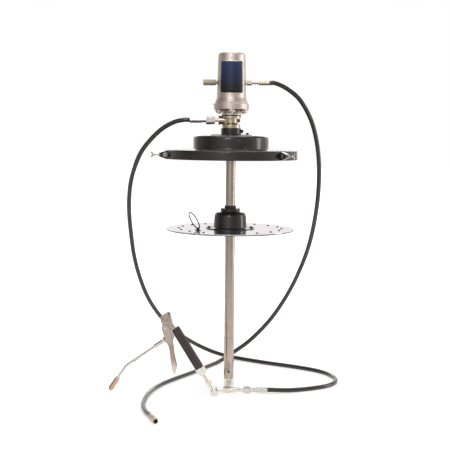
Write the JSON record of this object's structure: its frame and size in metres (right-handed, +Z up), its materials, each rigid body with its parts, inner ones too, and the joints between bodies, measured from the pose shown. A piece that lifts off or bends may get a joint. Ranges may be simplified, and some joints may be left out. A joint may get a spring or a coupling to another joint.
{
  "type": "pneumatic grease pump",
  "caption": "Air-driven drum grease pump with a tall motor, domed drum cover, follower plate on a long tube, two hoses and a lever-handled grease gun.",
  "frame": {"origin": "centre of the drum's mouth, in the plane where the cover's seal rests on the drum's rim", "axes": "+Z up along the pump tube to the air motor, +X to the air inlet's side, -Y to the front, where the lever gun stands"},
  "size_m": [0.6526, 0.6983, 0.9428],
  "materials": {
    "black_steel": "semi-gloss black paint",
    "black_rubber": "matt",
    "hose_rubber": "matt, smooth cover",
    "black_oxide": "black oxide",
    "cast_aluminium": "as cast, lightly polished",
    "zinc": "yellow zinc plating, satin",
    "brass": "machined",
    "plated_steel": "bright zinc plating",
    "tube_steel": "plated tube, faintly brown",
    "bright_steel": "polished",
    "mirror_steel": "bright rolled sheet",
    "bronze_muffler": "sintered, matt",
    "valve_metal": "machined",
    "spool_plastic": "satin",
    "lever_steel": "plated, faintly coppery",
    "copper_plate": "knurled, copper-coloured plating"
  },
  "bodies": {
    "pump": {"drum_cover": "black_steel", "cover_gasket": "black_rubber", "bung_adapter": "black_steel", "adapter_screw": "plated_steel", "vent_plug": "black_oxide", "throat_housing": "zinc", "throat_packing": "black_rubber", "packing_nut": "plated_steel", "bleed_plug": "black_oxide", "outlet_nipple": "plated_steel", "motor_base": "cast_aluminium", "motor_bolts": "plated_steel", "motor_cylinder": "cast_aluminium", "exhaust_muffler": "bronze_muffler", "air_inlet_nipple": "brass", "air_valve_block": "valve_metal", "suction_tube": "tube_steel", "pump_cylinder": "tube_steel", "foot_sleeve": "tube_steel", "foot_nose": "bright_steel", "grease_hose": "hose_rubber", "grease_hose_ferrules": "plated_steel", "air_hose": "hose_rubber", "air_hose_ferrule": "brass", "air_end_fitting": "brass"},
    "clamp_1": {"clamp_screw_1": "plated_steel"},
    "clamp_2": {"clamp_screw_2": "plated_steel"},
    "clamp_3": {"clamp_screw_3": "plated_steel"},
    "outlet_nut": {"outlet_swivel_nut": "plated_steel"},
    "inlet_nut": {"inlet_swivel_nut": "plated_steel"},
    "pump_rod": {"air_piston": "bright_steel", "piston_seal": "black_rubber", "piston_rod": "bright_steel", "pump_piston": "bright_steel", "priming_rod": "bright_steel"},
    "shift_spool": {"air_valve_spool": "spool_plastic"},
    "piston_check_plate": {"piston_check": "brass"},
    "foot_check_plate": {"foot_check": "brass"},
    "follower": {"follower_plate": "mirror_steel", "follower_wiper": "black_rubber", "wiper_ring": "plated_steel", "follower_rivets": "black_oxide", "follower_hub": "black_rubber", "hub_seals": "black_rubber", "hub_bolts": "black_oxide", "pull_ring_eye": "black_steel"},
    "ring": {"pull_ring": "black_steel"},
    "swivel": {"inline_swivel": "plated_steel"},
    "gun": {"gun_stem": "plated_steel", "handle_tube": "plated_steel", "grip_sleeve": "black_rubber", "valve_body": "cast_aluminium", "valve_plug": "black_oxide", "valve_spring": "plated_steel", "lever_pin": "plated_steel", "extension_tube": "plated_steel", "coupler_body": "copper_plate"},
    "gun_lever": {"lever": "lever_steel"},
    "gun_valve": {"valve_stem": "plated_steel"},
    "coupler_grip": {"coupler_sleeve": "copper_plate"}
  },
  "joints": [
    {"name": "pump_stroke", "type": "slide", "parent": "pump", "child": "pump_rod", "axis": [0, 0, 1], "range_m": [0, 0.05]},
    {"name": "air_valve_shift", "type": "slide", "parent": "pump", "child": "shift_spool", "axis": [0, 0, 1], "range_m": [0, 0.0055]},
    {"name": "piston_check_lift", "type": "slide", "parent": "pump_rod", "child": "piston_check_plate", "axis": [0, 0, 1], "range_m": [0, 0.003]},
    {"name": "foot_check_lift", "type": "slide", "parent": "pump", "child": "foot_check_plate", "axis": [0, 0, 1], "range_m": [0, 0.005]},
    {"name": "follower_slide", "type": "slide", "parent": "pump", "child": "follower", "axis": [0, 0, 1], "range_m": [-0.22, 0.13]},
    {"name": "pull_ring_hinge", "type": "hinge", "parent": "follower", "child": "ring", "pos_m": [-0.088, -0.064, -0.2077], "axis": [0.4226, -0.9063, 0], "range_deg": [-112, 59]},
    {"name": "clamp_1_turn_in", "type": "slide", "parent": "pump", "child": "clamp_1", "axis": [-0.7314, 0.682, 0], "range_m": [0, 0.012]},
    {"name": "clamp_2_turn_in", "type": "slide", "parent": "pump", "child": "clamp_2", "axis": [0.9563, 0.2924, 0], "range_m": [0, 0.012]},
    {"name": "clamp_3_turn_in", "type": "slide", "parent": "pump", "child": "clamp_3", "axis": [-0.225, -0.9744, 0], "range_m": [0, 0.012]},
    {"name": "outlet_nut_turn", "type": "hinge", "parent": "pump", "child": "outlet_nut", "pos_m": [-0.06, 0, 0.087], "axis": [-1, 0, 0], "continuous": true},
    {"name": "inlet_nut_turn", "type": "hinge", "parent": "pump", "child": "inlet_nut", "pos_m": [0.05, 0, 0.19], "axis": [1, 0, 0], "continuous": true},
    {"name": "hose_end_swivel", "type": "hinge", "parent": "pump", "child": "swivel", "pos_m": [0, -0.046, -0.66], "axis": [1, 0, 0], "range_deg": [-45, 60]},
    {"name": "gun_swivel", "type": "hinge", "parent": "swivel", "child": "gun", "pos_m": [-0.04, -0.07, -0.66], "axis": [0, 1, 0], "range_deg": [0, 100]},
    {"name": "lever_squeeze", "type": "hinge", "parent": "gun", "child": "gun_lever", "pos_m": [-0.17475, -0.07, -0.48221], "axis": [0, -1, 0], "range_deg": [0, 14], "stiffness_Nm_per_rad": 1.2, "springref_deg": -17.19},
    {"name": "valve_push", "type": "slide", "parent": "gun", "child": "gun_valve", "axis": [0.8526, 0, 0.5225], "range_m": [0, 0.0022], "deforming": ["valve_spring"]},
    {"name": "coupler_turn", "type": "hinge", "parent": "gun", "child": "coupler_grip", "pos_m": [-0.31639, -0.07, -0.63927], "axis": [-0.5519, 0, -0.8339], "continuous": true}
  ],
  "couplings": [
    {"joint": "valve_push", "follows": "lever_squeeze", "m_per_rad": 0.009}
  ]
}
